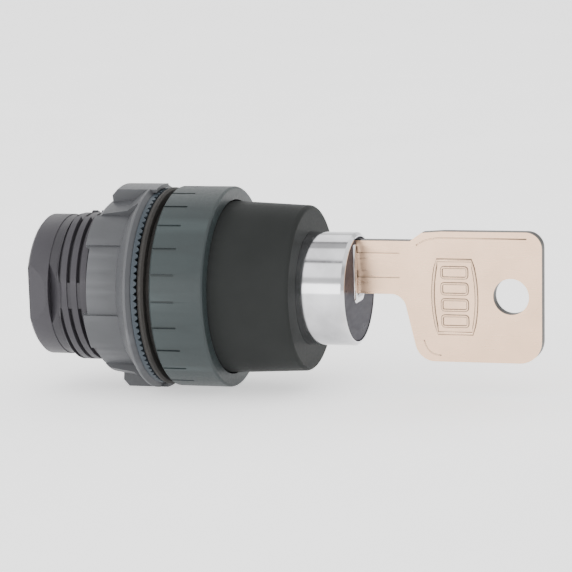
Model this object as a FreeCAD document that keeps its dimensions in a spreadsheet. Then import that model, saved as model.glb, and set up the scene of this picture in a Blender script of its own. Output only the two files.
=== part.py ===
"""Panel-mounted selector key switch head.

A threaded plastic body carries a fixing nut, a grooved bezel and a black lock housing. The plug of the chrome
key lock turns a cam that drives two contact pushers.

Millimetres. The origin is on the lock's axis at the face of the panel, where the gasket sits.
+X points out of the panel towards the key, +Z is up, and the key stands in the XZ plane.
"""
import FreeCAD, Part
import math
import os
import re

import Sketcher

CELLS = {
    # How far a cutting outline stands out of the material, and how far a joined feature runs into it
    "cut_margin": 1.0,
    "overlap": 0.1,
    # Threaded body, from its rear end to the neck that carries the bezel
    "body_rear": -18.6,
    "body_bore": 8.4,
    "front_bore": 9.4,
    "front_bore_depth": -4.4,
    "rim_radius": 10.29,
    "rim_front": -15.2,
    "rim_step": 0.09,
    "rim_ramp": 1.1,
    "edge_break": 0.4,
    "thread_rear": -13.9,
    "thread_front": -1.9,
    "thread_crest": 11.0,
    "thread_depth": 0.68,
    "thread_pitch": 1.5,
    "thread_mouth": 0.66,
    "thread_root": 0.34,
    "stem_rear": -1.3,
    "stem_radius": 11.1,
    "gasket_seat": 10.9,
    "gasket_lip": 0.9,
    "gasket_radius": 14.3,
    "gasket_edge": 0.3,
    "gasket_front": 1.7,
    "flange_front": 1.9,
    "flange_radius": 12.9,
    "neck_radius": 12.0,
    "neck_front": 3.9,
    "land_angle": 20.0,
    "land_radius": 10.85,
    "land_rear": -14.0,
    "land_root": 9.6,
    "relief_angle": 36.0,
    "relief_radius": 10.5,
    "notch_depth": 1.1,
    "notch_front": -13.3,
    # Bezel
    "bezel_radius": 14.5,
    "bezel_front": 9.9,
    "bezel_chamfer": 0.25,
    "bezel_round": 0.35,
    "bezel_bore": 12.6,
    "groove_count": 24,
    "groove_width": 0.32,
    "groove_depth": 0.2,
    "groove_front": 5.7,
    # Lock housing
    "housing_radius": 12.4,
    "housing_front_radius": 11.85,
    "housing_front": 21.5,
    "housing_round": 0.6,
    "spigot_radius": 9.35,
    "spigot_rear": -1.5,
    "sleeve_seat": 8.12,
    "seal_radius": 10.8,
    "seal_thickness": 1.0,
    "seal_gap": 0.05,
    # Lock sleeve, plug and the parts that hold them
    "lock_radius": 8.09,
    "lock_front": 28.53,
    "lock_edge": 0.4,
    "lock_bore": 7.5,
    "sleeve_rear": -3.0,
    "clip_thickness": 0.6,
    "clip_slack": 0.05,
    "clip_gap": 50.0,
    "sleeve_groove": 0.25,
    "sleeve_clip_lift": 0.02,
    "plug_groove": 0.5,
    "plug_neck": 0.4,
    "plug_edge": 0.15,
    "plug_radius": 7.45,
    "plug_recess": 0.08,
    "plug_rear": -4.2,
    "stop_place": 7.0,
    "stop_radius": 0.8,
    "stop_track": 6.5,
    "stop_gap": 0.1,
    "stop_spare": 18.0,
    "pin_squeeze": 0.01,
    "pin_sunk": 0.2,
    "pin_tip_gap": 0.3,
    "turn_range": 90.0,
    # Wafers
    "wafer_count": 5,
    "wafer_first": 12.0,
    "wafer_pitch": 2.8,
    "wafer_thickness": 1.0,
    "wafer_width": 4.8,
    "wafer_height": 13.9,
    "wafer_window_top": 6.4,
    "wafer_window_bottom": -1.5,
    "wafer_gap": 0.05,
    "slot_spare": 0.2,
    "ear_swing": 0.4,
    "ear_top": -1.6,
    "ear_thickness": 0.8,
    "ear_reach": 3.6,
    "spring_floor": -4.6,
    # Key
    "key_thickness": 1.8,
    "keyway_gap": 0.1,
    "keyway_spare": 0.8,
    "blade_bottom": -0.5,
    "blade_top": 7.1,
    "blade_tip": 6.5,
    "blade_cut_top": 6.1,
    "blade_nose": 1.5,
    "cut_flat": 0.4,
    "cut_shallow": 0.4,
    "cut_step": 0.25,
    "blade_step": 1.5,
    "blade_step_length": 0.9,
    "throat_place": 35.2,
    "shoulder_rear": 36.4,
    "shoulder_middle": 38.1,
    "shoulder_front": 41.0,
    "shoulder_dip": 0.2,
    "heel_place": 37.4,
    "ward_end": 34.9,
    "bow_front": 55.4,
    "bow_top": 8.5,
    "bow_bottom": -10.05,
    "bow_lean": 0.3,
    "bow_upper_corner": 2.3,
    "bow_lower_corner": 3.2,
    "bow_heel": 2.9,
    "bow_throat": 2.2,
    "ring_hole_place": 50.85,
    "ring_hole_height": -0.6,
    "ring_hole_radius": 2.55,
    "ward_width": 0.95,
    "ward_depth": 0.3,
    "ward_slope": 0.1,
    "ward_upper": 5.8,
    "ward_lower": 2.3,
    # Cam and pushers
    "tail_width": 4.0,
    "tail_rear": -8.0,
    "tail_gap": 0.05,
    "cam_front": -4.7,
    "cam_rear": -7.0,
    "cam_radius": 8.0,
    "cam_hub": 3.2,
    "ramp_inner": 4.4,
    "ramp_outer": 7.8,
    "ramp_toe": 0.3,
    "ramp_angle": 125.0,
    "ramp_lead": 15.0,
    "push_travel": 2.6,
    "screw_radius": 1.0,
    "screw_gap": 0.02,
    "screw_length": 3.0,
    "screw_hole": 3.5,
    "screw_head": 2.0,
    "screw_head_height": 1.2,
    "screw_dome": 0.4,
    "slot_width": 0.5,
    "slot_reach": 1.4,
    "slot_depth": 0.7,
    "pusher_offset": 6.0,
    "pusher_nose": 1.0,
    "pusher_gap": 0.12,
    "pusher_blade": 2.8,
    "nose_flat": 0.02,
    "stem_chamfer": 0.3,
    "pusher_collar": 2.2,
    "collar_front": -12.2,
    "collar_rear": -13.0,
    "pusher_stem": 1.3,
    "pusher_rear": -18.3,
    "guide_front": -17.0,
    "guide_rear": -18.2,
    "guide_radius": 8.37,
    "guide_gap": 0.08,
    "guide_eye": 2.6,
    "guide_edge": 0.3,
    # Springs
    "spring_gap": 0.03,
    "spring_seat": 0.05,
    "pusher_coil": 1.75,
    "pusher_wire": 0.35,
    "pusher_turns": 3.5,
    "wafer_coil": 0.4,
    "wafer_wire": 0.14,
    "wafer_turns": 3.0,
    # Fixing nut and clamp ring
    "nut_bore": 11.2,
    "nut_rear": -8.5,
    "nut_rear_radius": 12.2,
    "nut_shoulder": -7.9,
    "nut_shoulder_radius": 12.7,
    "cone_rear": -4.0,
    "cone_radius": 13.3,
    "nut_rim_rear": -1.75,
    "nut_rim": -1.5,
    "nut_radius": 14.85,
    "nut_face": -1.05,
    "nut_face_radius": 14.0,
    "flat_angle": 124.0,
    "flat_radius": 12.1,
    "flat_front": -1.9,
    "flat_front_radius": 14.6,
    "wrench_land": 12.45,
    "wrench_edge": 0.2,
    "wrench_rear": -9.2,
    "wrench_front": -3.6,
    "wrench_angle": 26.0,
    "lug_rear": -7.4,
    "lug_front": -0.5,
    "lug_angle": 20.0,
    "lug_round": 0.9,
    "lug_overhang": 14.35,
    "ring_rear": -0.95,
    "ring_front": -0.1,
    "ring_radius": 14.15,
    "ring_bore": 11.4,
    "tooth_count": 90,
    "tooth_height": 0.45,
    "tooth_reach": 2.0,
    "tooth_tip": 0.12,
}

# Directions round the X axis, in degrees from +Y towards +Z
HALF_TURN = 180
UPPER_LAND = 131
LOWER_LAND = 205
LUG_FACING = 93
parts = []

doc = FreeCAD.newDocument("selector_key_switch")
sheet = doc.addObject("Spreadsheet::Sheet", "dims")
for row, (alias, number) in enumerate(CELLS.items(), start=1):
    sheet.set(f"A{row}", alias)
    sheet.set(f"B{row}", str(number))
    sheet.setAlias(f"B{row}", alias)
doc.recompute()


# ---- Expressions and sketches ----


def on_sheet(text):
    """Write an expression in cell names as one that refers to the sheet."""
    return re.sub(r"[a-z_]{2,}", lambda word: f"dims.{word[0]}" if word[0] in CELLS else word[0], str(text))


def value(text):
    """Work out an expression in cell names."""
    return float(sheet.evalExpression(on_sheet(text)))


def bind(item, name, text):
    """Tie a property to an expression in cell names."""
    item.setExpression(name, on_sheet(text))


def new_body(name):
    """Start a sub-part whose features follow in order."""
    body = doc.addObject("PartDesign::Body", name)
    body.Label = name
    parts.append(body)
    return body


def origin_item(body, role):
    """Find a body's own origin plane or axis."""
    return next(item for item in body.Origin.OriginFeatures if item.Role == role)


def new_sketch(body, name, role="XY_Plane", offset="0", facing=0.0):
    """Start a sketch on an origin plane, moved along its normal and turned about its first axis."""
    sketch = body.newObject("Sketcher::SketchObject", name)
    sketch.AttachmentSupport = [(origin_item(body, role), "")]
    sketch.MapMode = "FlatFace"
    turned_plane = FreeCAD.Rotation(FreeCAD.Vector(1, 0, 0), facing)
    sketch.AttachmentOffset = FreeCAD.Placement(FreeCAD.Vector(0, 0, 0), turned_plane)
    bind(sketch, "AttachmentOffset.Base.z", offset)
    return sketch


def tie(sketch, kind, geometry, point, text):
    """Hold one coordinate of a point of a sketch to an expression."""
    index = sketch.addConstraint(Sketcher.Constraint(kind, -1, 1, geometry, point, value(text)))
    bind(sketch, f"Constraints[{index}]", text)


def draw_outline(sketch, corners):
    """Draw a closed outline of straight edges through corners given as pairs of expressions."""
    points = [FreeCAD.Vector(value(along), value(across), 0) for along, across in corners]
    first = len(sketch.Geometry)
    count = len(points)
    for index, start in enumerate(points):
        sketch.addGeometry(Part.LineSegment(start, points[(index + 1) % count]))
    for index, (along, across) in enumerate(corners):
        following = first + (index + 1) % count
        sketch.addConstraint(Sketcher.Constraint("Coincident", first + index, 2, following, 1))
        tie(sketch, "DistanceX", first + index, 1, along)
        tie(sketch, "DistanceY", first + index, 1, across)


def draw_rectangle(sketch, low_u, low_v, high_u, high_v):
    """Draw a rectangle between two corners."""
    draw_outline(sketch, [(low_u, low_v), (high_u, low_v), (high_u, high_v), (low_u, high_v)])


def draw_circle(sketch, centre_u, centre_v, radius):
    """Draw a circle held to its centre and radius."""
    centre = FreeCAD.Vector(value(centre_u), value(centre_v), 0)
    index = sketch.addGeometry(Part.Circle(centre, FreeCAD.Vector(0, 0, 1), value(radius)))
    tie(sketch, "DistanceX", index, 3, centre_u)
    tie(sketch, "DistanceY", index, 3, centre_v)
    size = sketch.addConstraint(Sketcher.Constraint("Radius", index, value(radius)))
    bind(sketch, f"Constraints[{size}]", radius)


# ---- Features ----


def turn(body, name, corners, kind="Revolution", angle="360", facing=0.0):
    """Turn an outline of axial and radial corners about X. A part turn is centred on the facing direction."""
    sketch = new_sketch(body, f"{name}_sketch", facing=facing)
    draw_outline(sketch, corners)
    feature = body.newObject(f"PartDesign::{kind}", name)
    feature.Profile = sketch
    feature.ReferenceAxis = (sketch, ["H_Axis"])
    feature.Midplane = value(angle) < 360
    bind(feature, "Angle", angle)
    body.Tip = feature
    doc.recompute()
    return feature


def extrude(body, name, sketch, length, kind="Pad", both_ways=False, reverse=False):
    """Pad or pocket a sketch along its normal, to both sides of its plane or to one."""
    feature = body.newObject(f"PartDesign::{kind}", name)
    feature.Profile = sketch
    feature.SideType = "Symmetric" if both_ways else "One side"
    feature.Reversed = reverse
    bind(feature, "Length", length)
    body.Tip = feature
    doc.recompute()
    return feature


def around(body, name, feature, count):
    """Repeat a feature evenly round the X axis."""
    pattern = body.newObject("PartDesign::PolarPattern", name)
    pattern.Originals = [feature]
    pattern.Axis = (origin_item(body, "X_Axis"), [""])
    pattern.Angle = 360
    bind(pattern, "Occurrences", count)
    body.Tip = pattern
    doc.recompute()
    return pattern


def edges_where(shape, test, crosswise):
    """Name the edges whose end points all pass a test, or only those of them that run along Y."""
    names = []
    for number, edge in enumerate(shape.Edges, start=1):
        ends = [vertex.Point for vertex in edge.Vertexes]
        along_y = abs(ends[0].y - ends[-1].y) > 0.9 * edge.Length
        if all(test(end) for end in ends) and (along_y or not crosswise):
            names.append(f"Edge{number}")
    return names


def ease(body, name, test, size, kind="Fillet", crosswise=False):
    """Round or chamfer the edges of a body's tip that pass a test."""
    base = body.Tip
    names = edges_where(base.Shape, test, crosswise)
    if not names:
        raise RuntimeError(f"{name} finds no edge")
    feature = body.newObject(f"PartDesign::{kind}", name)
    feature.Base = (base, names)
    bind(feature, "Radius" if kind == "Fillet" else "Size", size)
    body.Tip = feature
    doc.recompute()
    return feature


def radius_of(point):
    """Distance of a point from the X axis."""
    return math.hypot(point.y, point.z)


def near(number, text, within=0.02):
    """Whether a number is what an expression says."""
    return abs(number - value(text)) < within


def cut_checked(body, make):
    """Run a cutting step and make sure that it took material away."""
    before = body.Shape.Volume
    result = make()
    if not body.Shape.Volume < before - 1e-4:
        raise RuntimeError(f"{body.Label}: {result.Name} cuts nothing")
    return result


def ring(name, corners):
    """A sub-part that is one full turn of an outline."""
    body = new_body(name)
    turn(body, f"{name}_turn", corners)
    return body


# ---- Sub-parts: the threaded body and what it carries ----


def threaded_body():
    """The grey body: rear rim, interrupted thread, panel stem, flange and the neck under the bezel."""
    body = ring("threaded_body", [
        ("body_rear", "body_bore"),
        ("body_rear", "rim_radius - edge_break"),
        ("body_rear + edge_break", "rim_radius"),
        ("rim_front", "rim_radius"),
        ("rim_front", "rim_radius - rim_step"),
        ("thread_rear", "rim_radius - rim_step"),
        ("thread_rear + (thread_crest - rim_radius)", "thread_crest"),
        ("stem_rear", "thread_crest"),
        ("stem_rear", "stem_radius"),
        ("0", "stem_radius"),
        ("0", "gasket_seat"),
        ("gasket_front", "gasket_seat"),
        ("gasket_front", "flange_radius"),
        ("flange_front", "flange_radius"),
        ("flange_front", "neck_radius"),
        ("neck_front", "neck_radius"),
        ("neck_front", "front_bore"),
        ("front_bore_depth", "front_bore"),
        ("front_bore_depth", "body_bore"),
    ])
    cut_checked(body, lambda: cut_thread(body))
    for side in (0, HALF_TURN):
        turn(body, f"land_{side}", [
            ("land_rear", "land_root"),
            ("stem_rear - overlap", "land_root"),
            ("stem_rear - overlap", "land_radius"),
            ("land_rear + (land_radius - rim_radius)", "land_radius"),
            ("land_rear", "rim_radius - 2 * rim_step"),
        ], angle="land_angle", facing=side)
    cut_checked(body, lambda: turn(body, "top_relief", [
        ("thread_rear - thread_pitch / 2", "relief_radius"),
        ("stem_rear", "relief_radius"),
        ("stem_rear", "stem_radius + cut_margin"),
        ("thread_rear - thread_pitch / 2", "stem_radius + cut_margin"),
    ], kind="Groove", angle="relief_angle", facing=90))
    cut_checked(body, lambda: cut_latches(body))


def cut_latches(body):
    """Cut a ramp into the rim on each side and the notch behind it, for the latches of a contact block."""
    sketch = new_sketch(body, "latch_sketch")
    for side in ("", "-"):
        draw_outline(sketch, [
            ("body_rear - overlap", f"{side}(rim_radius - rim_ramp)"),
            ("rim_front - overlap", f"{side}rim_radius"),
            ("rim_front - overlap", f"{side}(rim_radius + cut_margin)"),
            ("body_rear - overlap", f"{side}(rim_radius + cut_margin)"),
        ])
        draw_outline(sketch, [
            ("rim_front", f"{side}(rim_radius - notch_depth)"),
            ("rim_front", f"{side}(rim_radius + cut_margin)"),
            ("notch_front + cut_margin", f"{side}(rim_radius + cut_margin)"),
            ("notch_front", f"{side}rim_radius"),
        ])
    return extrude(body, "latches", sketch, "rim_radius * 2", "Pocket", both_ways=True)


def cut_thread(body):
    """Cut one helical groove, whose root is just above the rear rim, so that it fades out there."""
    sketch = new_sketch(body, "thread_sketch")
    root = "thread_crest - thread_depth"
    draw_outline(sketch, [
        ("thread_rear - thread_mouth / 2", "thread_crest + overlap"),
        ("thread_rear - thread_root / 2", root),
        ("thread_rear + thread_root / 2", root),
        ("thread_rear + thread_mouth / 2", "thread_crest + overlap"),
    ])
    thread = body.newObject("PartDesign::SubtractiveHelix", "thread")
    thread.Profile = sketch
    thread.ReferenceAxis = (sketch, ["H_Axis"])
    thread.Mode = "pitch-height-angle"
    bind(thread, "Pitch", "thread_pitch")
    bind(thread, "Height", "thread_front - thread_rear")
    body.Tip = thread
    doc.recompute()
    return thread


def panel_gasket():
    """The rubber seal: a lip against the front of the panel and a narrower hub under the bezel."""
    ring("panel_gasket", [
        ("0", "gasket_seat"),
        ("0", "gasket_radius - gasket_edge"),
        ("gasket_edge", "gasket_radius"),
        ("gasket_lip - gasket_edge", "gasket_radius"),
        ("gasket_lip", "gasket_radius - gasket_edge"),
        ("gasket_lip", "flange_radius"),
        ("gasket_front", "flange_radius"),
        ("gasket_front", "gasket_seat"),
    ])


def bezel_ring():
    """The grey bezel with a flat face and short grip grooves on its rear half."""
    body = ring("bezel_ring", [
        ("flange_front", "neck_radius"),
        ("flange_front", "bezel_radius - bezel_chamfer"),
        ("flange_front + bezel_chamfer", "bezel_radius"),
        ("bezel_front", "bezel_radius"),
        ("bezel_front", "bezel_bore"),
        ("neck_front", "bezel_bore"),
        ("neck_front", "neck_radius"),
    ])
    ease(body, "front_round", lambda p: near(p.x, "bezel_front") and near(radius_of(p), "bezel_radius"),
         "bezel_round")
    sketch = new_sketch(body, "groove_sketch", role="YZ_Plane", offset="flange_front - overlap")
    draw_rectangle(sketch, "-(bezel_radius + cut_margin)", "-(groove_width / 2)",
                   "-(bezel_radius - groove_depth)", "groove_width / 2")
    groove = extrude(body, "grip_groove", sketch, "groove_front - flange_front", "Pocket", reverse=True)
    cut_checked(body, lambda: around(body, "grip_grooves", groove, "groove_count"))


def lock_housing():
    """The black barrel, its spigot in the body and the groove for the seal at its rear face."""
    body = ring("lock_housing", [
        ("spigot_rear", "sleeve_seat"),
        ("spigot_rear", "spigot_radius"),
        ("neck_front", "spigot_radius"),
        ("neck_front", "seal_radius - seal_thickness / 2 - seal_gap"),
        ("neck_front + seal_thickness", "seal_radius - seal_thickness / 2 - seal_gap"),
        ("neck_front + seal_thickness", "seal_radius + seal_thickness / 2 + seal_gap"),
        ("neck_front", "seal_radius + seal_thickness / 2 + seal_gap"),
        ("neck_front", "housing_radius"),
        ("bezel_front", "housing_radius"),
        ("housing_front", "housing_front_radius"),
        ("housing_front", "sleeve_seat"),
    ])
    ease(body, "front_round",
         lambda p: near(p.x, "housing_front") and near(radius_of(p), "housing_front_radius"), "housing_round")
    pin_hole(body)


def pin_hole(body):
    """Cross hole for the stop pin, from below."""
    sketch = new_sketch(body, "pin_sketch", role="XY_Plane", offset="-(housing_radius + cut_margin)")
    draw_circle(sketch, "stop_place", "0", "stop_radius")
    cut_checked(body, lambda: extrude(body, "pin_hole", sketch, "housing_radius", "Pocket", reverse=True))


def seal_ring(name, place, radius, thickness):
    """A round rubber ring about the X axis."""
    seal = doc.addObject("Part::Torus", name)
    seal.Label = name
    bind(seal, "Radius1", radius)
    bind(seal, "Radius2", f"({thickness}) / 2")
    seal.Placement.Rotation = FreeCAD.Rotation(FreeCAD.Vector(0, 1, 0), 90)
    bind(seal, "Placement.Base.x", place)
    parts.append(seal)


def stop_pin():
    """The pressed pin whose end runs in the plug's quarter-turn track."""
    pin = doc.addObject("Part::Cylinder", "stop_pin")
    pin.Label = "stop_pin"
    bind(pin, "Radius", "stop_radius - pin_squeeze")
    bind(pin, "Height", "housing_radius - pin_sunk - stop_track - pin_tip_gap")
    bind(pin, "Placement.Base.x", "stop_place")
    bind(pin, "Placement.Base.z", "-(housing_radius - pin_sunk)")
    parts.append(pin)


# ---- Sub-parts: the lock ----


def lock_sleeve():
    """The chrome case of the lock, with its clip groove and the cross hole for the stop pin."""
    body = ring("lock_sleeve", [
        ("sleeve_rear", "lock_bore"),
        ("sleeve_rear", "lock_radius"),
        ("spigot_rear - clip_thickness - clip_slack", "lock_radius"),
        ("spigot_rear - clip_thickness - clip_slack", "lock_radius - sleeve_groove"),
        ("spigot_rear", "lock_radius - sleeve_groove"),
        ("spigot_rear", "lock_radius"),
        ("lock_front - lock_edge", "lock_radius"),
        ("lock_front", "lock_radius - lock_edge"),
        ("lock_front", "lock_bore"),
    ])
    pin_hole(body)


def clip_ring(name, rear, inner, outer):
    """An open spring clip about the X axis, with its gap at the top."""
    body = new_body(name)
    turn(body, f"{name}_turn", [
        (rear, inner),
        (f"{rear} + clip_thickness - clip_slack", inner),
        (f"{rear} + clip_thickness - clip_slack", outer),
        (rear, outer),
    ], angle="360 - clip_gap", facing=-90)


def lock_plug():
    """The turning plug: keyway, wafer slots, stop track, clip groove and a square tail for the cam."""
    body = ring("lock_plug", [
        ("plug_rear", "0"),
        ("plug_rear", "plug_radius - plug_neck"),
        ("sleeve_rear - clip_thickness", "plug_radius - plug_neck"),
        ("sleeve_rear - clip_thickness", "plug_radius - plug_groove"),
        ("sleeve_rear", "plug_radius - plug_groove"),
        ("sleeve_rear", "plug_radius"),
        ("lock_front - plug_recess - plug_edge", "plug_radius"),
        ("lock_front - plug_recess", "plug_radius - plug_edge"),
        ("lock_front - plug_recess", "0"),
    ])
    tail = new_sketch(body, "tail_sketch", role="YZ_Plane", offset="plug_rear + overlap")
    draw_rectangle(tail, "-(tail_width / 2)", "-(tail_width / 2)", "tail_width / 2", "tail_width / 2")
    extrude(body, "tail", tail, "plug_rear - tail_rear + overlap", reverse=True)
    keyway = new_sketch(body, "keyway_sketch", role="YZ_Plane", offset="blade_tip - keyway_spare")
    half = "(key_thickness / 2 + keyway_gap)"
    draw_rectangle(keyway, f"-{half}", "blade_bottom - keyway_gap", half, "blade_top + keyway_gap")
    cut_checked(body, lambda: extrude(body, "keyway", keyway, "lock_front", "Pocket", reverse=True))
    cut_checked(body, lambda: cut_wafer_slots(body))
    cut_checked(body, lambda: turn(body, "stop_groove", [
        ("stop_place - stop_radius - stop_gap", "stop_track"),
        ("stop_place + stop_radius + stop_gap", "stop_track"),
        ("stop_place + stop_radius + stop_gap", "plug_radius + cut_margin"),
        ("stop_place - stop_radius - stop_gap", "plug_radius + cut_margin"),
    ], kind="Groove", angle="turn_range + stop_spare", facing=-value("turn_range / 2")))
    screw = new_sketch(body, "screw_sketch", role="YZ_Plane", offset="tail_rear - overlap")
    draw_circle(screw, "0", "0", "screw_radius + screw_gap")
    depth = "screw_hole + overlap"
    cut_checked(body, lambda: extrude(body, "screw_hole", screw, depth, "Pocket", reverse=True))


def cut_wafer_slots(body):
    """Cut the row of cross slots that hold the wafers, each with a side pocket for its spring."""
    rear = "wafer_first - (wafer_thickness + slot_spare) / 2"
    sketch = new_sketch(body, "slot_sketch", role="YZ_Plane", offset=rear)
    side = "(wafer_width / 2 + wafer_gap)"
    pocket = "(ear_reach + 2 * wafer_gap)"
    draw_outline(sketch, [
        (f"-{side}", "-(plug_radius + cut_margin)"),
        (side, "-(plug_radius + cut_margin)"),
        (side, "spring_floor"),
        (pocket, "spring_floor"),
        (pocket, "ear_top + ear_swing"),
        (side, "ear_top + ear_swing"),
        (side, "plug_radius + cut_margin"),
        (f"-{side}", "plug_radius + cut_margin"),
    ])
    slot = extrude(body, "wafer_slot", sketch, "wafer_thickness + slot_spare", "Pocket", reverse=True)
    row = body.newObject("PartDesign::LinearPattern", "wafer_slots")
    row.Originals = [slot]
    row.Direction = (origin_item(body, "X_Axis"), [""])
    bind(row, "Occurrences", "wafer_count")
    bind(row, "Length", "wafer_pitch * (wafer_count - 1)")
    body.Tip = row
    doc.recompute()
    return row


def wafer(number):
    """One flat wafer with a window for the blade and an ear for its spring."""
    body = new_body(f"wafer_{number + 1}")
    place = f"wafer_first + {number} * wafer_pitch - wafer_thickness / 2"
    sketch = new_sketch(body, "wafer_sketch", role="YZ_Plane", offset=place)
    side = "(wafer_width / 2)"
    draw_outline(sketch, [
        (f"-{side}", "-(wafer_height / 2)"),
        (side, "-(wafer_height / 2)"),
        (side, "ear_top - ear_thickness"),
        ("ear_reach", "ear_top - ear_thickness"),
        ("ear_reach", "ear_top"),
        (side, "ear_top"),
        (side, "wafer_height / 2"),
        (f"-{side}", "wafer_height / 2"),
    ])
    half = "(key_thickness / 2 + keyway_gap + wafer_gap)"
    draw_rectangle(sketch, f"-{half}", "wafer_window_bottom", half, "wafer_window_top")
    extrude(body, "wafer_plate", sketch, "wafer_thickness")


def coil_spring(name, coil, wire, length, turns, foot, upright):
    """A coil spring of round wire that starts at its foot and runs back along X, or up along Z if upright."""
    body = new_body(name)
    along, aside, height = foot
    sketch = new_sketch(body, f"{name}_sketch", role="XZ_Plane", offset=f"-({aside})")
    bind(sketch, "AttachmentOffset.Base.x", along)
    bind(sketch, "AttachmentOffset.Base.y", height)
    if upright:
        draw_circle(sketch, coil, f"{wire} / 2", f"{wire} / 2")
    else:
        draw_circle(sketch, f"-({wire} / 2)", coil, f"{wire} / 2")
    helix = body.newObject("PartDesign::AdditiveHelix", f"{name}_wire")
    helix.Profile = sketch
    helix.ReferenceAxis = (sketch, ["V_Axis" if upright else "H_Axis"])
    helix.Mode = "height-turns-angle"
    helix.Reversed = not upright
    bind(helix, "Height", f"{length} - {wire}")
    bind(helix, "Turns", turns)
    body.Tip = helix
    doc.recompute()


def wafer_spring(number):
    """The small spring under a wafer's ear."""
    aside = "(wafer_width / 2 + ear_reach) / 2 + spring_seat"
    foot = (f"wafer_first + {number} * wafer_pitch", aside, "spring_floor + spring_seat")
    length = "ear_top - ear_thickness - spring_floor - 2 * spring_seat"
    coil_spring(f"wafer_spring_{number + 1}", "wafer_coil", "wafer_wire", length, "wafer_turns", foot,
                upright=True)


# ---- Sub-parts: the key ----


def key():
    """The flat key: a bow with a ring hole, shank, blade with cuts, and wards milled in both faces."""
    body = new_body("key")
    sketch = new_sketch(body, "key_sketch", role="XZ_Plane")
    draw_outline(sketch, [
        ("blade_tip", "blade_bottom + blade_nose"),
        ("blade_tip + blade_nose", "blade_bottom"),
        ("throat_place", "blade_bottom"),
        ("heel_place", "bow_bottom"),
        ("bow_front - bow_lean", "bow_bottom"),
        ("bow_front", "bow_top"),
        ("shoulder_front", "bow_top"),
        ("shoulder_middle", "bow_top - shoulder_dip"),
        ("shoulder_rear", "blade_top"),
        ("lock_front - blade_step", "blade_top"),
        ("lock_front - blade_step - blade_step_length", "blade_cut_top"),
        *blade_cuts(),
        ("blade_tip + blade_nose", "blade_cut_top"),
        ("blade_tip", "blade_cut_top - blade_nose"),
    ])
    extrude(body, "key_blank", sketch, "key_thickness", both_ways=True)
    ease(body, "upper_corner", lambda p: near(p.x, "bow_front") and near(p.z, "bow_top"), "bow_upper_corner",
         crosswise=True)
    ease(body, "lower_corner", lambda p: near(p.x, "bow_front - bow_lean") and near(p.z, "bow_bottom"),
         "bow_lower_corner", crosswise=True)
    ease(body, "heel", lambda p: near(p.x, "heel_place") and near(p.z, "bow_bottom"), "bow_heel",
         crosswise=True)
    ease(body, "throat", lambda p: near(p.x, "throat_place") and near(p.z, "blade_bottom"), "bow_throat",
         crosswise=True)
    hole = new_sketch(body, "ring_sketch", role="XZ_Plane")
    draw_circle(hole, "ring_hole_place", "ring_hole_height", "ring_hole_radius")
    cut_checked(body, lambda: extrude(body, "ring_hole", hole, "key_thickness * 2", "Pocket", both_ways=True))
    cut_wards(body)


def blade_cuts():
    """The key's cuts: a shallow flat-bottomed vee at each wafer, of three depths in turn."""
    corners = []
    for number in reversed(range(int(CELLS["wafer_count"]))):
        place = f"wafer_first + {number} * wafer_pitch"
        depth = f"(cut_shallow + {number % 3} * cut_step)"
        corners.append((f"{place} + cut_flat + {depth}", "blade_cut_top"))
        corners.append((f"{place} + cut_flat", f"blade_cut_top - {depth}"))
        corners.append((f"{place} - cut_flat", f"blade_cut_top - {depth}"))
        corners.append((f"{place} - cut_flat - {depth}", "blade_cut_top"))
    return corners


def cut_wards(body):
    """Mill the two long wards into each face of the blade and shank."""
    for side, name in ((1, "far"), (-1, "near")):
        sketch = new_sketch(body, f"ward_sketch_{name}", role="YZ_Plane", offset="blade_tip - overlap")
        for level in ("ward_upper", "ward_lower"):
            low, high = f"{level} - ward_width / 2", f"{level} + ward_width / 2"
            inner = f"{side} * (key_thickness / 2 - ward_depth)"
            outer = f"{side} * (key_thickness / 2 + cut_margin)"
            draw_outline(sketch, [
                (inner, low),
                (outer, f"{low} - ward_slope"),
                (outer, f"{high} + ward_slope"),
                (inner, high),
            ])
        cut_checked(body, lambda: extrude(body, f"wards_{name}", sketch, "ward_end - blade_tip", "Pocket",
                                          reverse=True))


# ---- Sub-parts: cam and pushers ----


def actuating_cam():
    """The cam on the plug's tail, with two helical ramps on its rear face."""
    body = ring("actuating_cam", [
        ("cam_front", "0"),
        ("cam_front", "cam_radius"),
        ("cam_rear", "cam_radius"),
        ("cam_rear", "cam_hub"),
        ("tail_rear + overlap", "cam_hub"),
        ("tail_rear + overlap", "0"),
    ])
    for start in (0, HALF_TURN):
        helix_ramp(body, start)
    square = new_sketch(body, "square_sketch", role="YZ_Plane", offset="tail_rear - overlap")
    half = "(tail_width / 2 + tail_gap)"
    draw_rectangle(square, f"-{half}", f"-{half}", half, half)
    cut_checked(body, lambda: extrude(body, "square_hole", square, "cam_radius", "Pocket", reverse=True))


def helix_ramp(body, start):
    """Sweep one ramp whose rear face moves back by the push travel in the plug's turn."""
    sketch = new_sketch(body, f"ramp_sketch_{start}", facing=start - value("ramp_lead"))
    draw_rectangle(sketch, "cam_rear - ramp_toe", "ramp_inner", "cam_front - 5 * overlap", "ramp_outer")
    ramp = body.newObject("PartDesign::AdditiveHelix", f"ramp_{start}")
    ramp.Profile = sketch
    ramp.ReferenceAxis = (sketch, ["H_Axis"])
    ramp.Mode = "pitch-turns-angle"
    ramp.LeftHanded = True
    ramp.Reversed = True
    bind(ramp, "Pitch", "push_travel * 360 / turn_range")
    bind(ramp, "Turns", "ramp_angle / 360")
    body.Tip = ramp
    doc.recompute()


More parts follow.
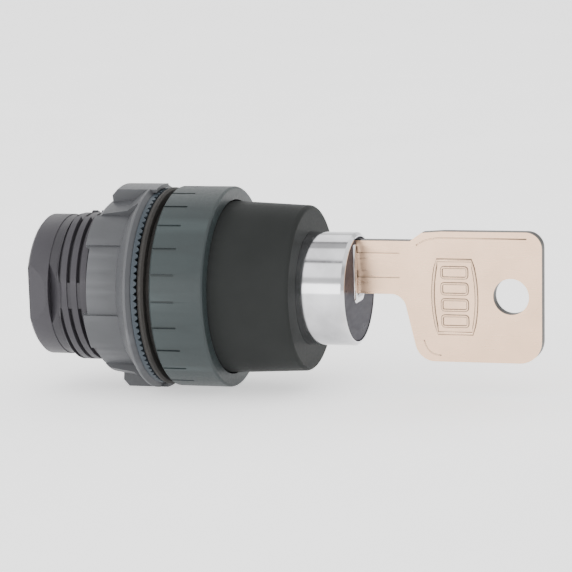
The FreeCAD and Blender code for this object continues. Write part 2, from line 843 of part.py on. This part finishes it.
def cam_screw():
    """The pan-head screw that holds the cam on the plug's tail, with a cross slot."""
    body = ring("cam_screw", [
        ("tail_rear + screw_length", "0"),
        ("tail_rear + screw_length", "screw_radius - 2 * overlap"),
        ("tail_rear + screw_length - 2 * overlap", "screw_radius"),
        ("tail_rear", "screw_radius"),
        ("tail_rear", "screw_head"),
        ("tail_rear - screw_head_height + screw_dome", "screw_head"),
        ("tail_rear - screw_head_height", "screw_head - screw_dome"),
        ("tail_rear - screw_head_height", "0"),
    ])
    face = "tail_rear - screw_head_height - overlap"
    sketch = new_sketch(body, "slot_sketch", role="YZ_Plane", offset=face)
    draw_rectangle(sketch, "-(slot_width / 2)", "-slot_reach", "slot_width / 2", "slot_reach")
    slot = extrude(body, "slot", sketch, "slot_depth + overlap", "Pocket", reverse=True)
    cut_checked(body, lambda: around(body, "cross_slot", slot, "4"))


def pusher(name, side):
    """One contact pusher: round nose on the cam, collar for the spring, stem through the guide."""
    body = new_body(name)
    offset = f"{side} * pusher_offset"
    nose = new_sketch(body, "nose_sketch", role="XZ_Plane", offset=f"-({offset})")
    tip = "cam_rear - ramp_toe - push_travel * ramp_lead / turn_range - pusher_gap"
    draw_rectangle(nose, "collar_front - overlap", "-pusher_nose", tip, "pusher_nose")
    extrude(body, "nose", nose, "pusher_blade", both_ways=True)
    ease(body, "nose_round", lambda p: near(p.x, tip) and near(abs(p.z), "pusher_nose"),
         "pusher_nose - nose_flat")
    collar = new_sketch(body, "collar_sketch", role="YZ_Plane", offset="collar_rear")
    draw_circle(collar, offset, "0", "pusher_collar")
    extrude(body, "collar", collar, "collar_front - collar_rear")
    stem = new_sketch(body, "stem_sketch", role="YZ_Plane", offset="pusher_rear")
    draw_circle(stem, offset, "0", "pusher_stem")
    extrude(body, "stem", stem, "collar_rear - pusher_rear + overlap")
    ease(body, "stem_end", lambda p: near(p.x, "pusher_rear"), "stem_chamfer", "Chamfer")


def pusher_spring(name, side):
    """The spring between a pusher's collar and the guide."""
    foot = ("collar_rear - spring_gap", f"{side} * pusher_offset", "0")
    length = "collar_rear - guide_front - 2 * spring_gap"
    coil_spring(name, "pusher_coil", "pusher_wire", length, "pusher_turns", foot, upright=False)


def pusher_guide():
    """The plate that closes the rear of the body, with a hole for each pusher and an eye in the middle."""
    body = ring("pusher_guide", [
        ("guide_rear", "guide_eye"),
        ("guide_rear", "guide_radius - guide_edge"),
        ("guide_rear + guide_edge", "guide_radius"),
        ("guide_front", "guide_radius"),
        ("guide_front", "guide_eye"),
    ])
    sketch = new_sketch(body, "guide_sketch", role="YZ_Plane", offset="guide_rear - overlap")
    for side in ("", "-"):
        draw_circle(sketch, f"{side}pusher_offset", "0", "pusher_stem + guide_gap")
    depth = "guide_front - guide_rear + 2 * overlap"
    cut_checked(body, lambda: extrude(body, "guide_holes", sketch, depth, "Pocket", reverse=True))


# ---- Sub-parts: the nut and its clamp ring ----


def fixing_nut():
    """The plastic nut: a collar with two long flats, raised wrench lands, a rim and two grip lugs."""
    body = ring("fixing_nut", [
        ("nut_rear", "nut_bore"),
        ("nut_rear", "nut_rear_radius"),
        ("nut_shoulder", "nut_shoulder_radius"),
        ("cone_rear", "cone_radius"),
        ("nut_rim_rear", "nut_radius"),
        ("nut_rim", "nut_radius"),
        ("nut_face", "nut_face_radius"),
        ("nut_face", "nut_bore"),
    ])
    flat = cut_checked(body, lambda: turn(body, "flat", [
        ("nut_rear - overlap", "flat_radius"),
        ("cone_rear", "flat_radius"),
        ("flat_front", "flat_front_radius"),
        ("flat_front", "nut_radius + cut_margin"),
        ("nut_rear - overlap", "nut_radius + cut_margin"),
    ], kind="Groove", angle="flat_angle", facing=HALF_TURN))
    cut_checked(body, lambda: around(body, "flats", flat, "2"))
    for place, facing in (("upper", UPPER_LAND), ("lower", LOWER_LAND)):
        land = turn(body, f"{place}_land", [
            ("wrench_rear", "nut_bore"),
            ("wrench_rear", "flat_radius"),
            ("wrench_rear + wrench_edge", "wrench_land"),
            ("wrench_front", "wrench_land"),
            ("wrench_front", "nut_bore + overlap"),
            ("nut_rear + overlap", "nut_bore"),
        ], angle="wrench_angle", facing=facing)
        around(body, f"{place}_lands", land, "2")
    lug = turn(body, "lug", [
        ("lug_rear", "nut_bore + overlap"),
        ("lug_rear", "nut_radius - lug_round"),
        ("lug_rear + lug_round", "nut_radius"),
        ("lug_front", "nut_radius"),
        ("lug_front", "lug_overhang"),
        ("nut_face", "lug_overhang"),
        ("nut_face", "nut_bore + overlap"),
    ], angle="lug_angle", facing=LUG_FACING)
    around(body, "lugs", lug, "2")


def clamp_ring():
    """The toothed ring in front of the nut, which bites the rear of the panel."""
    body = ring("clamp_ring", [
        ("ring_rear", "ring_bore"),
        ("ring_rear", "ring_radius"),
        ("ring_front", "ring_radius"),
        ("ring_front", "ring_bore"),
    ])
    sketch = new_sketch(body, "tooth_sketch", role="XZ_Plane", offset="ring_radius - tooth_reach")
    width = "ring_radius * pi / tooth_count"
    draw_outline(sketch, [
        ("ring_front - tooth_height", "0"),
        ("ring_front + overlap", f"-({width} - tooth_tip / 2)"),
        ("ring_front + overlap", f"{width} - tooth_tip / 2"),
    ])
    gap = extrude(body, "tooth_gap", sketch, "tooth_reach + cut_margin", "Pocket", reverse=True)
    cut_checked(body, lambda: around(body, "teeth", gap, "tooth_count"))


# ---- Assembly ----

threaded_body()
panel_gasket()
bezel_ring()
seal_ring("housing_seal", "neck_front + seal_thickness / 2", "seal_radius", "seal_thickness")
lock_housing()
stop_pin()
lock_sleeve()
clip_ring("sleeve_clip", "spigot_rear - clip_thickness", "lock_radius - sleeve_groove + sleeve_clip_lift",
          "front_bore - overlap")
pusher_guide()
lock_plug()
clip_ring("plug_clip", "sleeve_rear - clip_thickness", "plug_radius - plug_groove + sleeve_clip_lift",
          "lock_radius + sleeve_groove + clip_slack")
for slot_number in range(int(CELLS["wafer_count"])):
    wafer(slot_number)
    wafer_spring(slot_number)
actuating_cam()
cam_screw()
for pusher_number, pusher_side in ((1, 1), (2, -1)):
    pusher(f"pusher_{pusher_number}", pusher_side)
    pusher_spring(f"pusher_spring_{pusher_number}", pusher_side)
key()
fixing_nut()
clamp_ring()

doc.recompute()
for item in doc.Objects:
    if "Invalid" in item.State or "Error" in item.State:
        raise RuntimeError(f"{item.Name} failed: {item.State}")
os.makedirs("parts", exist_ok=True)
for part in parts:
    shape = part.Shape
    if shape.isNull() or not shape.isValid() or len(shape.Solids) != 1:
        raise RuntimeError(f"{part.Label} is not one valid solid")
    shape.exportStep(f"parts/{part.Label}.step")
    print(f"{part.Label:16s} {shape.Volume:9.2f} mm3")
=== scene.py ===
"""Looks of the selector key switch head: materials, detail on key and plug, springs, light and camera."""
import math

import bmesh
import bpy
from mathutils import Matrix, Vector


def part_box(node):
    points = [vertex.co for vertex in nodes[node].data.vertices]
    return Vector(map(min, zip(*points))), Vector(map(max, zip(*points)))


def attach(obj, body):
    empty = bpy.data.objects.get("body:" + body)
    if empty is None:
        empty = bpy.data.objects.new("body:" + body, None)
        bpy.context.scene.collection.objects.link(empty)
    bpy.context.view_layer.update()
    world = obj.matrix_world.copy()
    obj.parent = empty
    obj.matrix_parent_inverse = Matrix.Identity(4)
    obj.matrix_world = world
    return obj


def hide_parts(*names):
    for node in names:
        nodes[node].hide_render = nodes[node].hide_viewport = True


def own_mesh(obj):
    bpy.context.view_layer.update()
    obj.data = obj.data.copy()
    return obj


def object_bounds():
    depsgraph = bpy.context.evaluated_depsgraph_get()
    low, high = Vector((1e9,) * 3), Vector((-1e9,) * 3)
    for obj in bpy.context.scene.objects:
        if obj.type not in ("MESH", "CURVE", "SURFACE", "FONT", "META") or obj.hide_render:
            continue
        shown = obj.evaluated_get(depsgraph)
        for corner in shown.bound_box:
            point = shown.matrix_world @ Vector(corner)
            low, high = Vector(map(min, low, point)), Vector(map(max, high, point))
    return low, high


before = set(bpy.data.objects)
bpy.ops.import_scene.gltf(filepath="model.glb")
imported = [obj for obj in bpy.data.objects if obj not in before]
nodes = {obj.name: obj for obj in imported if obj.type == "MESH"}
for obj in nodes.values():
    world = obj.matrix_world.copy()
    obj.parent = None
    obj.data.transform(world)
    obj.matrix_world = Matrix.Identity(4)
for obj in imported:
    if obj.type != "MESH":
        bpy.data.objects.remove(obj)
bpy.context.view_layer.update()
MM = 0.001
# The colour sockets of a Mix node, which has a set of sockets for each type of data.
MIX_FIRST = 6
MIX_SECOND = 7
MIX_RESULT = 2


# ---- Materials ----


def new_material(name):
    """A material with an empty Principled shader, and its node tree."""
    material = bpy.data.materials.new(name)
    material.use_nodes = True
    return material, material.node_tree, material.node_tree.nodes["Principled BSDF"]


def object_coordinates(tree):
    """The output socket of object coordinates, in metres."""
    return tree.nodes.new("ShaderNodeTexCoord").outputs["Object"]


def noise(tree, scale, detail=3.0, roughness=0.5, stretch=(1.0, 1.0, 1.0)):
    """A noise texture of that many features per metre, drawn out where stretch is below one."""
    mapping = tree.nodes.new("ShaderNodeMapping")
    mapping.inputs["Scale"].default_value = stretch
    tree.links.new(object_coordinates(tree), mapping.inputs["Vector"])
    texture = tree.nodes.new("ShaderNodeTexNoise")
    texture.inputs["Scale"].default_value = scale
    texture.inputs["Detail"].default_value = detail
    texture.inputs["Roughness"].default_value = roughness
    tree.links.new(mapping.outputs["Vector"], texture.inputs["Vector"])
    return texture.outputs["Fac"]


def ramp(tree, source, stops):
    """A colour ramp over a value, from (position, colour) stops."""
    node = tree.nodes.new("ShaderNodeValToRGB")
    elements = node.color_ramp.elements
    while len(elements) < len(stops):
        elements.new(0.5)
    for element, (position, colour) in zip(elements, stops):
        element.position = position
        element.color = (*colour, 1.0)
    tree.links.new(source, node.inputs["Fac"])
    return node.outputs["Color"]


def grey(level):
    """A grey as three equal numbers."""
    return (level, level, level)


def shade(colour, factor):
    """A colour made lighter or darker."""
    return tuple(min(1.0, part * factor) for part in colour)


def spread(tree, source, low, high):
    """Map a value that runs from 0.3 to 0.7 onto a range."""
    node = tree.nodes.new("ShaderNodeMapRange")
    node.inputs["From Min"].default_value = 0.3
    node.inputs["From Max"].default_value = 0.7
    node.inputs["To Min"].default_value = low
    node.inputs["To Max"].default_value = high
    tree.links.new(source, node.inputs["Value"])
    return node.outputs["Result"]


def edge_mask(tree):
    """One on outer edges and zero on flat faces, from the mesh's own pointiness."""
    geometry = tree.nodes.new("ShaderNodeNewGeometry")
    node = tree.nodes.new("ShaderNodeMapRange")
    node.inputs["From Min"].default_value = 0.52
    node.inputs["From Max"].default_value = 0.62
    tree.links.new(geometry.outputs["Pointiness"], node.inputs["Value"])
    return node.outputs["Result"]


def mix(tree, factor, first, second):
    """Mix two colour sockets by a factor socket."""
    node = tree.nodes.new("ShaderNodeMix")
    node.data_type = "RGBA"
    tree.links.new(factor, node.inputs["Factor"])
    for socket, source in ((node.inputs[MIX_FIRST], first), (node.inputs[MIX_SECOND], second)):
        if isinstance(source, tuple):
            socket.default_value = (*source, 1.0)
        else:
            tree.links.new(source, socket)
    return node.outputs[MIX_RESULT]


def facing_mask(tree, axis, turned, square):
    """One where the surface faces along an axis of the object, zero where it is turned away from it."""
    parts = tree.nodes.new("ShaderNodeSeparateXYZ")
    tree.links.new(tree.nodes.new("ShaderNodeTexCoord").outputs["Normal"], parts.inputs["Vector"])
    size = tree.nodes.new("ShaderNodeMath")
    size.operation = "ABSOLUTE"
    tree.links.new(parts.outputs[axis], size.inputs[0])
    node = tree.nodes.new("ShaderNodeMapRange")
    node.inputs["From Min"].default_value = turned
    node.inputs["From Max"].default_value = square
    tree.links.new(size.outputs[0], node.inputs["Value"])
    return node.outputs["Result"]


def bump(tree, shader, height, distance, strength=1.0):
    """Give a shader bumps of that height in metres."""
    node = tree.nodes.new("ShaderNodeBump")
    node.inputs["Distance"].default_value = distance
    node.inputs["Strength"].default_value = strength
    tree.links.new(height, node.inputs["Height"])
    tree.links.new(node.outputs["Normal"], shader.inputs["Normal"])


def moulded_plastic(name, colour, rough=(0.38, 0.5), wear_and_highlight=1.25, specular=0.5):
    """Moulded plastic: slow flow mottling, fine spark-eroded grain, and slightly paler edges, partly wear
    and partly a painted highlight.
    """
    material, tree, shader = new_material(name)
    flow = noise(tree, 130.0, detail=2.0)
    base = ramp(tree, flow, [(0.3, shade(colour, 0.93)), (0.7, shade(colour, 1.07))])
    # The paler edges are partly wear and partly a painted highlight along each edge.
    edged = mix(tree, edge_mask(tree), base, shade(colour, wear_and_highlight))
    tree.links.new(edged, shader.inputs["Base Color"])
    fine = noise(tree, 2600.0, detail=3.0, roughness=0.6)
    tree.links.new(spread(tree, fine, *rough), shader.inputs["Roughness"])
    shader.inputs["Specular IOR Level"].default_value = specular
    bump(tree, shader, fine, 6e-6, strength=0.5)
    return material


def rubber(name, colour):
    """Rubber: dull, with a dusty bloom and a coarse grain."""
    material, tree, shader = new_material(name)
    bloom = noise(tree, 260.0, detail=4.0, roughness=0.65)
    base = ramp(tree, bloom, [(0.35, shade(colour, 0.75)), (0.7, shade(colour, 1.5))])
    tree.links.new(base, shader.inputs["Base Color"])
    fine = noise(tree, 3500.0, detail=3.0)
    tree.links.new(spread(tree, fine, 0.62, 0.8), shader.inputs["Roughness"])
    bump(tree, shader, fine, 1.2e-5, strength=0.5)
    return material


def metal(name, colour, rough, grain, stretch, bump_height,
          tarnish=0.9, edges=None, metallic=1.0, specular=0.5):
    """Bare or plated metal: drawn-out polishing marks, uneven roughness along them and patches of tarnish.

    Edges, where given, is a painted shade: a dark, dull colour without metal shine on the faces that don't
    face along Y, such as outer edges, ward walls and relief slopes.
    """
    material, tree, shader = new_material(name)
    patches = noise(tree, 220.0, detail=4.0)
    base = ramp(tree, patches, [(0.3, shade(colour, tarnish)), (0.65, colour)])
    shader.inputs["Metallic"].default_value = metallic
    shader.inputs["Specular IOR Level"].default_value = specular
    # Painted shade: faces that don't face along Y take the dark edge colour and lose their metal shine.
    if edges:
        faces_along_y = facing_mask(tree, "Y", 0.7, 0.95)
        base = mix(tree, faces_along_y, edges, base)
        tree.links.new(faces_along_y, shader.inputs["Metallic"])
    tree.links.new(base, shader.inputs["Base Color"])
    marks = noise(tree, grain, detail=4.0, roughness=0.65, stretch=stretch)
    tree.links.new(spread(tree, marks, *rough), shader.inputs["Roughness"])
    bump(tree, shader, marks, bump_height, strength=0.35)
    return material


# ---- Putting materials and edges on the CAD nodes ----


def dress(node, material, edge=0.0, angle=32.0):
    """Give a CAD node its material, smooth shading and, where edge is set in metres, rounded edges."""
    piece = nodes[node]
    piece.data.materials.clear()
    piece.data.materials.append(material)
    for polygon in piece.data.polygons:
        polygon.use_smooth = True
    piece.data.set_sharp_from_angle(angle=math.radians(angle))
    if edge:
        rounding = piece.modifiers.new("edges", "BEVEL")
        rounding.width = edge
        rounding.segments = 2
        rounding.limit_method = "ANGLE"
        rounding.angle_limit = math.radians(angle)


# The edge factor of each plastic lightens its edges: partly wear, partly a painted highlight.
body_plastic = moulded_plastic("body_plastic", (0.034, 0.032, 0.037), wear_and_highlight=1.5, specular=0.3)
bezel_plastic = moulded_plastic("bezel_plastic", (0.026, 0.034, 0.035), wear_and_highlight=1.5, specular=0.3)
nut_plastic = moulded_plastic("nut_plastic", (0.070, 0.072, 0.077), wear_and_highlight=1.5, specular=0.3)
ring_plastic = moulded_plastic("ring_plastic", (0.028, 0.036, 0.044), wear_and_highlight=1.6, specular=0.3)
housing_plastic = moulded_plastic("housing_plastic", (0.025, 0.0265, 0.026), rough=(0.34, 0.44), wear_and_highlight=1.3,
                                  specular=0.015)
inner_plastic = moulded_plastic("inner_plastic", (0.30, 0.30, 0.27))
pusher_plastic = moulded_plastic("pusher_plastic", (0.03, 0.10, 0.20))
gasket_rubber = rubber("gasket_rubber", (0.016, 0.014, 0.012))
lock_chrome = metal("lock_chrome", (0.66, 0.66, 0.68), (0.07, 0.15), 5000.0, (1.0, 0.1, 0.1), 4e-7,
                    tarnish=0.75)
plug_metal = metal("plug_metal", (0.028, 0.026, 0.036), (0.26, 0.40), 900.0, (1.0, 0.3, 1.0), 1e-6,
                   metallic=0.1, specular=0.02)
# The key's and the relief's edge colours are painted shade on edges, ward walls and relief slopes; the
# relief's metal is also a little darker than the key's, as painted shade.
key_metal = metal("key_metal", (0.94, 0.64, 0.44), (0.24, 0.36), 2500.0, (0.08, 1.0, 1.0), 2e-6,
                  edges=(0.028, 0.025, 0.023), specular=0.05)
relief_metal = metal("relief_metal", (0.90, 0.62, 0.43), (0.22, 0.34), 2500.0, (0.3, 1.0, 1.0), 2e-6,
                     edges=(0.06, 0.048, 0.04), specular=0.05)
bright_steel = metal("bright_steel", (0.62, 0.61, 0.60), (0.15, 0.3), 1800.0, (1.0, 1.0, 0.2), 1e-6)
wafer_brass = metal("wafer_brass", (0.72, 0.52, 0.22), (0.2, 0.35), 1800.0, (1.0, 0.3, 1.0), 1e-6)

EDGE = 0.12 * MM
FINISHES = {
    "threaded_body": (body_plastic, EDGE),
    "bezel_ring": (bezel_plastic, 0.0),
    "fixing_nut": (nut_plastic, EDGE),
    "clamp_ring": (ring_plastic, 0.0),
    "lock_housing": (housing_plastic, 0.0),
    "panel_gasket": (gasket_rubber, 0.0),
    "housing_seal": (gasket_rubber, 0.0),
    "lock_sleeve": (lock_chrome, 0.0),
    "lock_plug": (plug_metal, 0.0),
    "key": (key_metal, EDGE),
    "pusher_guide": (inner_plastic, 0.0),
    "actuating_cam": (inner_plastic, 0.0),
}
for name in nodes:
    if name in FINISHES:
        dress(name, *FINISHES[name])
    elif name.startswith("pusher_") and "spring" not in name:
        dress(name, pusher_plastic)
    elif name.startswith("wafer_") and "spring" not in name:
        dress(name, wafer_brass)
    else:
        dress(name, bright_steel)


# ---- Embossed detail on the key's two faces, and the rim round the keyway ----

# Sizes and places in mm. A point on the key is X and Z, and one on the plug is Y and Z.
PANEL_MIDDLE = (42.75, -0.75)
PANEL_HALF_HEIGHT = 5.2
PANEL_END_HALF_WIDTH = 2.5
PANEL_BULGE = 0.65
PANEL_RIDGE = (0.6, 0.2)
BLOCK_COUNT = 4
BLOCK_PITCH = 2.3
BLOCK_HALF_LENGTH = 1.85
BLOCK_HALF_HEIGHT = 0.75
BLOCK_CORNER = 0.4
BLOCK_RIDGE = (0.45, 0.18)
BORDER_TOP_CURVE = ((37.3, 6.5), (38.6, 7.55), (41.0, 7.6))
BORDER_TOP_END = (53.2, 7.55)
BORDER_CORNER_CURVE = ((38.15, -7.0), (38.5, -9.1), (40.6, -9.15))
BORDER_RIDGE = (0.22, 0.06)
RIM_REACH = 1.7
RIM_TOP = 6.6
RIM_BOTTOM = -1.3
RIM_CORNER = 0.6
RIM_RIDGE = (1.3, 0.25)
RIDGE_SECTION = ((-0.5, -0.3), (-0.3, 0.7), (0.0, 1.0), (0.3, 0.7), (0.5, -0.3))


def curve_through(first, pull, last, steps=10):
    """Points of a quadratic curve from first to last, pulled towards a middle point."""
    points = []
    for step in range(steps + 1):
        t = step / steps
        weights = ((1 - t) ** 2, 2 * t * (1 - t), t ** 2)
        corners = list(zip(weights, (first, pull, last)))
        points.append(tuple(sum(weight * corner[axis] for weight, corner in corners) for axis in (0, 1)))
    return points


def add_ridge(mesh, path, size, place, closed):
    """Sweep a low domed section, of that width and height, along a path of points.

    Place turns a point of the path and a height above the face into X, Y and Z.
    """
    count = len(path)
    width, height = size
    rows = []
    for index, (u, v) in enumerate(path):
        before = path[(index - 1) % count] if closed or index else path[index]
        after = path[(index + 1) % count] if closed or index < count - 1 else path[index]
        along = Vector((after[0] - before[0], after[1] - before[1])).normalized()
        row = []
        for across, up in RIDGE_SECTION:
            point = place(u - along.y * across * width, v + along.x * across * width, up * height)
            row.append(mesh.verts.new([number * MM for number in point]))
        rows.append(row)
    for index in range(count if closed else count - 1):
        this, following = rows[index], rows[(index + 1) % count]
        for step in range(len(RIDGE_SECTION) - 1):
            mesh.faces.new((this[step], following[step], following[step + 1], this[step + 1]))
    if not closed:
        mesh.faces.new(rows[0])
        mesh.faces.new(rows[-1])


def add_piece(name, body, material, fill, place):
    """A piece that rides on a body, filled by a function that adds to its mesh at those places."""
    mesh = bmesh.new()
    fill(mesh, place)
    bmesh.ops.recalc_face_normals(mesh, faces=mesh.faces)
    data = bpy.data.meshes.new(name)
    mesh.to_mesh(data)
    mesh.free()
    for polygon in data.polygons:
        polygon.use_smooth = True
    data.materials.append(material)
    piece = bpy.data.objects.new(name, data)
    bpy.context.scene.collection.objects.link(piece)
    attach(piece, body)


def on_key_near(x, z, up):
    """A place for a ridge on the key's near face."""
    return (x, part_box("key")[0].y / MM - up, z)


def on_key_far(x, z, up):
    """A place for a ridge on the key's far face."""
    return (x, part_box("key")[1].y / MM + up, z)


def on_plug(y, z, up):
    """A place for a ridge on the plug's front face."""
    return (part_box("lock_plug")[1].x / MM + up, y, z)


def rounded_block(x, z):
    """The outline of a block with round corners about a middle point."""
    outline = []
    for toward_x, toward_z in ((1, -1), (1, 1), (-1, 1), (-1, -1)):
        corner = (x + toward_x * BLOCK_HALF_LENGTH, z + toward_z * BLOCK_HALF_HEIGHT)
        beside = (corner[0] - toward_x * BLOCK_CORNER, corner[1])
        above = (corner[0], corner[1] - toward_z * BLOCK_CORNER)
        ends = (beside, above) if toward_x * toward_z < 0 else (above, beside)
        outline.extend(curve_through(ends[0], corner, ends[1], steps=4))
    return outline


def fill_panel(mesh, place):
    """The barrel-shaped frame with a column of plain rounded blocks in it."""
    middle_x, middle_z = PANEL_MIDDLE
    left, right = middle_x - PANEL_END_HALF_WIDTH, middle_x + PANEL_END_HALF_WIDTH
    low, high = middle_z - PANEL_HALF_HEIGHT, middle_z + PANEL_HALF_HEIGHT
    bulge = 2 * PANEL_BULGE
    outline = [
        *curve_through((right, low), (right + bulge, middle_z), (right, high)),
        *curve_through((left, high), (left - bulge, middle_z), (left, low)),
    ]
    add_ridge(mesh, outline, PANEL_RIDGE, place, closed=True)
    for number in range(BLOCK_COUNT):
        z = middle_z + (number - (BLOCK_COUNT - 1) / 2) * BLOCK_PITCH
        add_ridge(mesh, rounded_block(middle_x, z), BLOCK_RIDGE, place, closed=True)


def fill_border(mesh, place):
    """The fine line inside the bow's top edge and round its lower corner."""
    top = [*curve_through(*BORDER_TOP_CURVE), BORDER_TOP_END]
    corner = curve_through(*BORDER_CORNER_CURVE)
    for path in (top, corner):
        add_ridge(mesh, path, BORDER_RIDGE, place, closed=False)


def fill_keyway_rim(mesh, place):
    """The polished rim down both sides of the keyway and under it."""
    beside = (RIM_REACH, RIM_BOTTOM + RIM_CORNER)
    below = (RIM_REACH - RIM_CORNER, RIM_BOTTOM)
    half = [(RIM_REACH, RIM_TOP), *curve_through(beside, (RIM_REACH, RIM_BOTTOM), below, steps=6)]
    other_half = [(-y, z) for y, z in reversed(half)]
    add_ridge(mesh, half + other_half, RIM_RIDGE, place, closed=False)


for side_name, on_key in (("near", on_key_near), ("far", on_key_far)):
    add_piece(f"key_panel_{side_name}", "key", relief_metal, fill_panel, on_key)
    add_piece(f"key_border_{side_name}", "key", relief_metal, fill_border, on_key)
add_piece("keyway_rim", "rotor", lock_chrome, fill_keyway_rim, on_plug)


# ---- Copies of the pushers' springs ----


def add_pusher_coil(number):
    """A copy of a pusher's spring, riding on the head, in place of the original, which is hidden."""
    spring = nodes[f"pusher_spring_{number}"]
    coil = bpy.data.objects.new(f"pusher_coil_{number}", spring.data.copy())
    coil.matrix_world = spring.matrix_world
    bpy.context.scene.collection.objects.link(coil)
    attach(coil, "head")
    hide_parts(spring.name)
    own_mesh(coil)


for number in (1, 2):
    add_pusher_coil(number)


# ---- Floor, light and camera ----


def add_floor():
    """A wide pale floor just under the object, which also glows, like a lit studio table."""
    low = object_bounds()[0]
    half = 6.0
    mesh = bpy.data.meshes.new("floor")
    corners = [(-half, -half, low.z), (half, -half, low.z), (half, half, low.z), (-half, half, low.z)]
    mesh.from_pydata(corners, [], [(0, 1, 2, 3)])
    floor = bpy.data.objects.new("floor", mesh)
    bpy.context.scene.collection.objects.link(floor)
    material, tree, shader = new_material("floor_paper")
    tone = ramp(tree, noise(tree, 40.0), [(0.3, grey(0.92)), (0.7, grey(0.95))])
    tree.links.new(tone, shader.inputs["Base Color"])
    tree.links.new(tone, shader.inputs["Emission Color"])
    shader.inputs["Emission Strength"].default_value = 0.9
    shader.inputs["Roughness"].default_value = 0.9
    mesh.materials.append(material)


def add_area_light(name, place, size, power, target=(0.015, 0.0, 0.0)):
    """A square soft light at a place in metres, aimed at the object."""
    lamp = bpy.data.lights.new(name, "AREA")
    lamp.shape = "SQUARE"
    lamp.size = size
    lamp.energy = power
    light = bpy.data.objects.new(name, lamp)
    light.location = place
    light.rotation_euler = (Vector(target) - Vector(place)).to_track_quat("-Z", "Y").to_euler()
    bpy.context.scene.collection.objects.link(light)


def add_world():
    """A pale surround that is a little dimmer to the right.

    From the horizon up it has a greyer band, a bright one and a dark line, and it is grey overhead.
    """
    world = bpy.data.worlds.new("studio")
    world.use_nodes = True
    tree = world.node_tree
    direction = tree.nodes.new("ShaderNodeSeparateXYZ")
    tree.links.new(tree.nodes.new("ShaderNodeTexCoord").outputs["Generated"], direction.inputs["Vector"])
    overhead = ramp(tree, direction.outputs["Z"], [
        (0.0, grey(0.8)), (0.3, grey(0.8)), (0.36, grey(0.55)), (0.46, grey(0.55)), (0.52, grey(1.1)),
        (0.83, grey(1.1)), (0.85, grey(0.1)), (0.865, grey(0.1)), (0.88, grey(0.4)),
    ])
    rightward = ramp(tree, direction.outputs["X"], [(0.35, grey(1.0)), (0.75, grey(0.7))])
    product = tree.nodes.new("ShaderNodeMix")
    product.data_type = "RGBA"
    product.blend_type = "MULTIPLY"
    product.inputs["Factor"].default_value = 1.0
    tree.links.new(overhead, product.inputs[MIX_FIRST])
    tree.links.new(rightward, product.inputs[MIX_SECOND])
    background = tree.nodes["Background"]
    tree.links.new(product.outputs[MIX_RESULT], background.inputs["Color"])
    background.inputs["Strength"].default_value = 2.1
    bpy.context.scene.world = world


def add_camera():
    """The camera: to the right of the object's side, a little above it, slightly rolled."""
    azimuth, elevation, roll = (math.radians(angle) for angle in (18.342, 9.057, 1.910))
    distance = 0.39413
    target = Vector((0.017533, 0.0, 0.000211))
    back = Vector((math.sin(azimuth) * math.cos(elevation), -math.cos(azimuth) * math.cos(elevation),
                   math.sin(elevation)))
    level = Vector((0, 0, 1)).cross(back).normalized()
    upright = back.cross(level)
    across = math.cos(roll) * level - math.sin(roll) * upright
    upward = math.sin(roll) * level + math.cos(roll) * upright
    data = bpy.data.cameras.new("camera")
    data.sensor_width = 36.0
    data.lens = 172.7
    data.clip_start = 0.01
    data.clip_end = 30.0
    camera = bpy.data.objects.new("camera", data)
    pose = Matrix((across, upward, back)).transposed().to_4x4()
    pose.translation = target + back * distance
    camera.matrix_world = pose
    bpy.context.scene.collection.objects.link(camera)
    bpy.context.scene.camera = camera


add_floor()
add_world()
add_area_light("top_light", (0.05, -0.10, 0.60), 0.5, 1.0)
add_area_light("front_light", (-0.25, -0.60, 0.05), 0.3, 1.0)
add_camera()
